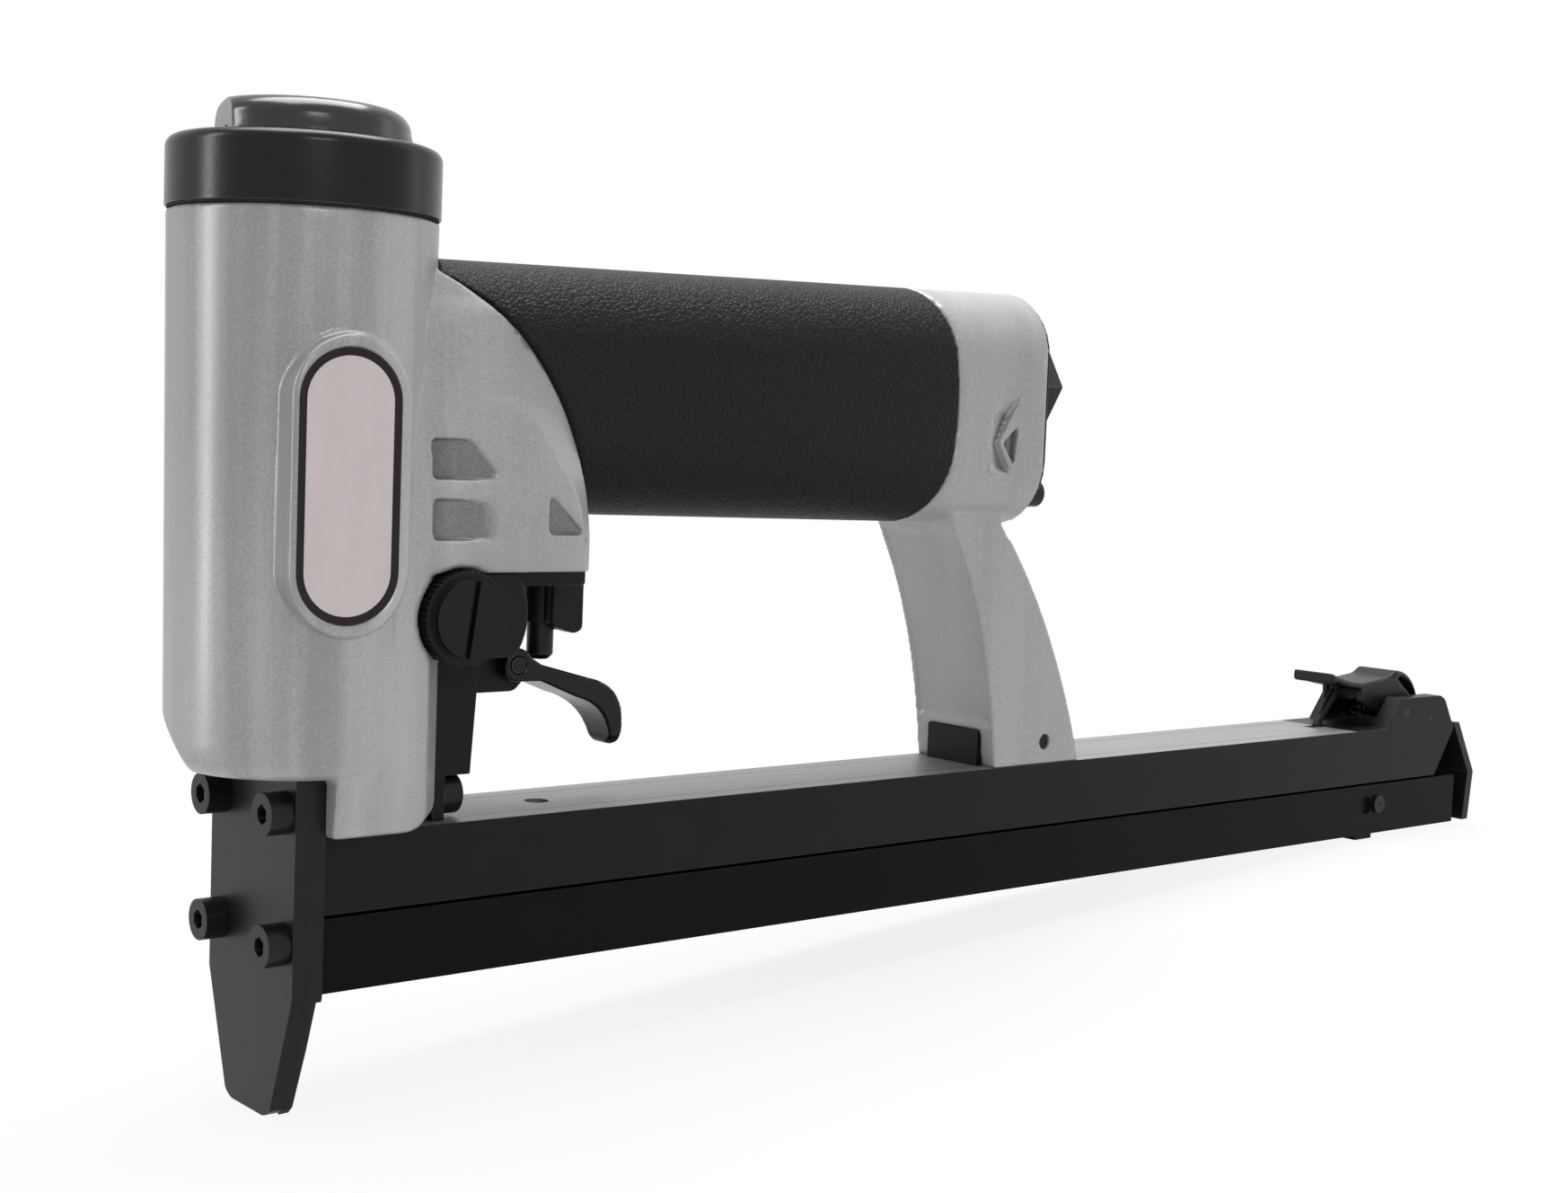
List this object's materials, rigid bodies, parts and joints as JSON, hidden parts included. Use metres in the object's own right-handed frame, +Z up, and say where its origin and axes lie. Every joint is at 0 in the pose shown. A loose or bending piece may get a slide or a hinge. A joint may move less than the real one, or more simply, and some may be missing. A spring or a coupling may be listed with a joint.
{
  "type": "pneumatic upholstery stapler",
  "caption": "Compressed-air upholstery stapler with a cast body, leather-grained grip, long bottom-loading magazine drawer, trigger and rotating exhaust cap",
  "frame": {"origin": "on the barrel axis, level with the tip of the nose", "axes": "+X from the nose to the tail of the magazine, -Y the side with the badge, +Z up along the barrel"},
  "size_m": [0.3611, 0.0447, 0.1659],
  "materials": {
    "cast_aluminium": "satin",
    "black_aluminium": "matte",
    "strip_aluminium": "brushed",
    "black_steel": "satin",
    "bright_steel": "bright",
    "black_plastic": "satin",
    "grip_rubber": "leather grain",
    "seal_rubber": "matte",
    "badge_metal": "satin"
  },
  "bodies": {
    "tool_body": {"body_casting": "cast_aluminium", "badge_plate": "badge_metal", "cylinder_liner": "strip_aluminium", "bumper": "seal_rubber", "cap_gasket": "seal_rubber", "top_cap": "black_aluminium", "deflector_screw": "black_steel", "grip_sleeve": "grip_rubber", "end_plate": "black_aluminium", "inlet_bush": "black_steel", "end_screws": "black_steel", "nose_plate": "black_steel", "guide_plate": "black_steel", "nose_screws": "black_steel", "foot_bracket": "black_aluminium", "bracket_screws": "black_steel", "trigger_housing": "black_plastic", "valve_bush": "black_plastic", "valve_spring": "bright_steel", "trigger_pin": "bright_steel", "side_plates": "black_aluminium", "top_strip": "strip_aluminium", "leg_lug": "black_aluminium", "leg_pin": "bright_steel", "latch_pin": "bright_steel", "latch_spring": "bright_steel", "latch_stop": "bright_steel"},
    "deflector": {"exhaust_deflector": "black_aluminium"},
    "piston_driver": {"piston": "strip_aluminium", "piston_ring": "seal_rubber", "driver_blade": "bright_steel", "driver_pin": "bright_steel"},
    "trigger_lever": {"trigger": "black_steel"},
    "stem": {"valve_stem": "black_steel"},
    "knob": {"speed_knob": "black_plastic"},
    "drawer_body": {"drawer": "black_aluminium", "drawer_end": "black_steel", "drawer_screws": "black_steel", "stop_screw": "black_steel"},
    "pusher_body": {"pusher": "black_steel", "roll_spring": "bright_steel"},
    "latch": {"latch_lever": "black_steel"}
  },
  "joints": [
    {"name": "deflector_turn", "type": "hinge", "parent": "tool_body", "child": "deflector", "pos_m": [0, 0, 0.16], "axis": [0, 0, 1], "continuous": true},
    {"name": "driver_stroke", "type": "slide", "parent": "tool_body", "child": "piston_driver", "axis": [0, 0, -1], "range_m": [0, 0.043]},
    {"name": "trigger_pull", "type": "hinge", "parent": "tool_body", "child": "trigger_lever", "pos_m": [0.04, 0, 0.0726], "axis": [0, -1, 0], "range_deg": [0, 10], "stiffness_Nm_per_rad": 0.8, "springref_deg": -11.46},
    {"name": "stem_press", "type": "slide", "parent": "tool_body", "child": "stem", "axis": [0, 0, 1], "range_m": [0, 0.002], "deforming": ["valve_spring"]},
    {"name": "knob_turn", "type": "hinge", "parent": "tool_body", "child": "knob", "pos_m": [0.0202, -0.0176, 0.0826], "axis": [0, -1, 0], "range_deg": [-180, 180]},
    {"name": "drawer_slide", "type": "slide", "parent": "tool_body", "child": "drawer_body", "axis": [1, 0, 0], "range_m": [0, 0.2]},
    {"name": "pusher_slide", "type": "slide", "parent": "drawer_body", "child": "pusher_body", "axis": [1, 0, 0], "range_m": [0, 0.18], "stiffness_N_per_m": 20, "springref_m": -0.3},
    {"name": "latch_lift", "type": "hinge", "parent": "tool_body", "child": "latch", "pos_m": [0.3063, 0, 0.0506], "axis": [0, 1, 0], "range_deg": [0, 8], "stiffness_Nm_per_rad": 0.3, "springref_deg": -17.19}
  ],
  "couplings": [
    {"joint": "stem_press", "follows": "trigger_pull", "m_per_rad": 0.0098}
  ]
}
